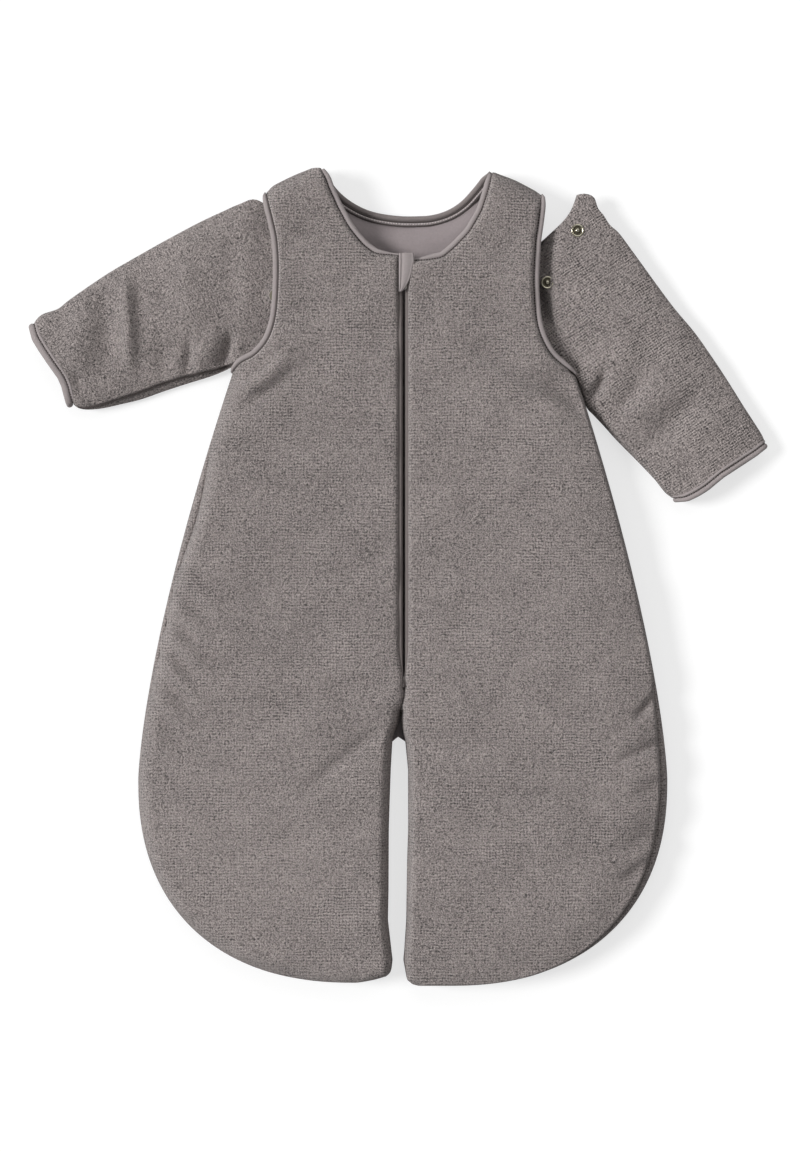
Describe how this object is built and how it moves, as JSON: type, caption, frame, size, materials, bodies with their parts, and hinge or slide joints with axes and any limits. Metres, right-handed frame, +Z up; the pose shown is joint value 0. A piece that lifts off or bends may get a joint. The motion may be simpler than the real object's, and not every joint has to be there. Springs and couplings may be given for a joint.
{
  "type": "baby sleeping bag",
  "caption": "Padded plush baby sleeping bag with two legs, a front zip under a chin guard, bound neck and armholes, and long sleeves that snap off.",
  "frame": {"origin": "on the zip's line, half way between the shoulder points and the hem, on the surface that the bag lies on", "axes": "+Y along the bag towards the neck, +X across it to the right as it lies on its back, +Z up out of the front"},
  "size_m": [0.635, 0.7, 0.041],
  "materials": {
    "plush": "short taupe plush with a fine nap",
    "wadding": "white polyester wadding",
    "lining": "smooth knitted jersey",
    "binding": "smooth jersey binding",
    "zip_tape": "woven polyester tape",
    "coil": "nylon coil",
    "snap_metal": "dull plated brass",
    "zip_metal": "satin plated zinc"
  },
  "bodies": {
    "bag": {"back_shell": "plush", "back_wadding": "wadding", "back_lining": "lining", "front_shell_left": "plush", "front_shell_right": "plush", "front_wadding_left": "wadding", "front_wadding_right": "wadding", "front_lining_left": "lining", "front_lining_right": "lining", "armhole_binding_left": "binding", "armhole_binding_right": "binding", "neck_binding_back": "binding", "zip_tape_end": "zip_tape", "zip_coil_end": "coil", "zip_stop_end": "zip_metal", "snap_sockets_left": "snap_metal", "snap_sockets_right": "snap_metal"},
    "flap_left": {"flap_shell_left": "plush", "flap_wadding_left": "wadding", "flap_lining_left": "lining", "neck_binding_left": "binding", "zip_tape_left": "zip_tape", "zip_coil_left": "coil", "zip_stop_left": "zip_metal"},
    "flap_right": {"flap_shell_right": "plush", "flap_wadding_right": "wadding", "flap_lining_right": "lining", "neck_binding_right": "binding", "zip_tape_right": "zip_tape", "zip_coil_right": "coil", "zip_stop_right": "zip_metal"},
    "guard": {"chin_guard": "binding"},
    "slider": {"zip_slider": "zip_metal"},
    "pull": {"pull_tab": "zip_metal"},
    "sleeve_left": {"sleeve_shell_left": "plush", "sleeve_wadding_left": "wadding", "sleeve_lining_left": "lining", "cuff_binding_left": "binding", "snap_studs_left": "snap_metal"},
    "sleeve_right": {"sleeve_shell_right": "plush", "sleeve_wadding_right": "wadding", "sleeve_lining_right": "lining", "cuff_binding_right": "binding", "snap_studs_right": "snap_metal"}
  },
  "joints": [
    {"name": "zip_run", "type": "slide", "parent": "bag", "child": "slider", "axis": [0, -1, 0], "range_m": [0, 0.341]},
    {"name": "pull_lift", "type": "hinge", "parent": "slider", "child": "pull", "pos_m": [0, 0.2641, 0.0377], "axis": [-1, 0, 0], "range_deg": [0, 170], "deforming": ["chin_guard"]},
    {"name": "fold_left", "type": "hinge", "parent": "bag", "child": "flap_left", "pos_m": [-0.0253, 0.04, 0.04], "axis": [0.1279, -0.9918, 0], "range_deg": [0, 150]},
    {"name": "fold_right", "type": "hinge", "parent": "bag", "child": "flap_right", "pos_m": [0.0253, 0.04, 0.04], "axis": [0.1628, 0.9867, 0], "range_deg": [0, 150]},
    {"name": "guard_lift", "type": "hinge", "parent": "flap_left", "child": "guard", "pos_m": [-0.0047, 0.259, 0.03755], "axis": [0, -1, 0], "range_deg": [0, 160]},
    {"name": "sleeve_pull_left", "type": "slide", "parent": "bag", "child": "sleeve_left", "axis": [-0.9266, -0.3762, 0], "range_m": [0, 0.06]},
    {"name": "sleeve_pull_right", "type": "slide", "parent": "bag", "child": "sleeve_right", "axis": [0.5919, -0.806, 0], "range_m": [0, 0.06]}
  ]
}
